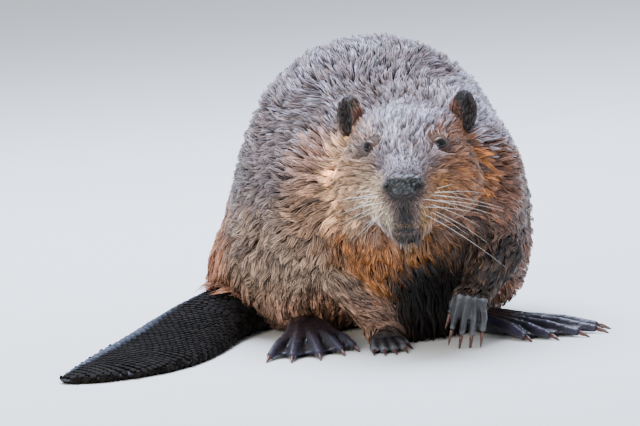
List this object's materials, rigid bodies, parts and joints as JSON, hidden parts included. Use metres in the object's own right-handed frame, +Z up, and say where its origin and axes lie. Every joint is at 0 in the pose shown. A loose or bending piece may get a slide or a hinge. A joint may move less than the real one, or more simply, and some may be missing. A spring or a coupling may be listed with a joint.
{
  "type": "beaver",
  "caption": "Life-size beaver hunched on its haunches, head low and facing ahead, one forepaw raised onto its claws, broad scaly tail laid along its right side.",
  "frame": {"origin": "on the floor under the middle of the whole animal, tail and feet included", "axes": "+Z up, the animal faces -Y, its left side is +X"},
  "size_m": [0.5566, 0.4757, 0.303],
  "materials": {
    "coat": "damp fur in clumped guard hairs, grey-brown above, rust on cheeks and rump",
    "skin": "bare wrinkled skin of feet and nose, satin",
    "tail_skin": "scaly bare skin, satin",
    "horn": "claw horn, smooth",
    "eye": "wet dark cornea, polished"
  },
  "bodies": {
    "root": {"ear_left": "coat", "ear_right": "coat", "eye_left": "eye", "eye_right": "eye", "forearm_left": "coat", "forearm_right": "coat", "foreclaw_left_1": "horn", "foreclaw_left_2": "horn", "foreclaw_left_3": "horn", "foreclaw_left_4": "horn", "foreclaw_left_5": "horn", "foreclaw_right_1": "horn", "foreclaw_right_2": "horn", "foreclaw_right_3": "horn", "foreclaw_right_4": "horn", "foreclaw_right_5": "horn", "forepaw_left": "skin", "forepaw_right": "skin", "haunch_left": "coat", "haunch_right": "coat", "head": "coat", "hind_claw_left_1": "horn", "hind_claw_left_2": "horn", "hind_claw_left_3": "horn", "hind_claw_left_4": "horn", "hind_claw_left_5": "horn", "hind_claw_right_1": "horn", "hind_claw_right_2": "horn", "hind_claw_right_3": "horn", "hind_claw_right_4": "horn", "hind_claw_right_5": "horn", "hind_foot_left": "skin", "hind_foot_right": "skin", "lower_jaw": "coat", "neck": "coat", "nose": "skin", "tail": "tail_skin", "tail_base": "coat", "trunk": "coat", "upper_arm_left": "coat", "upper_arm_right": "coat"}
  },
  "joints": []
}
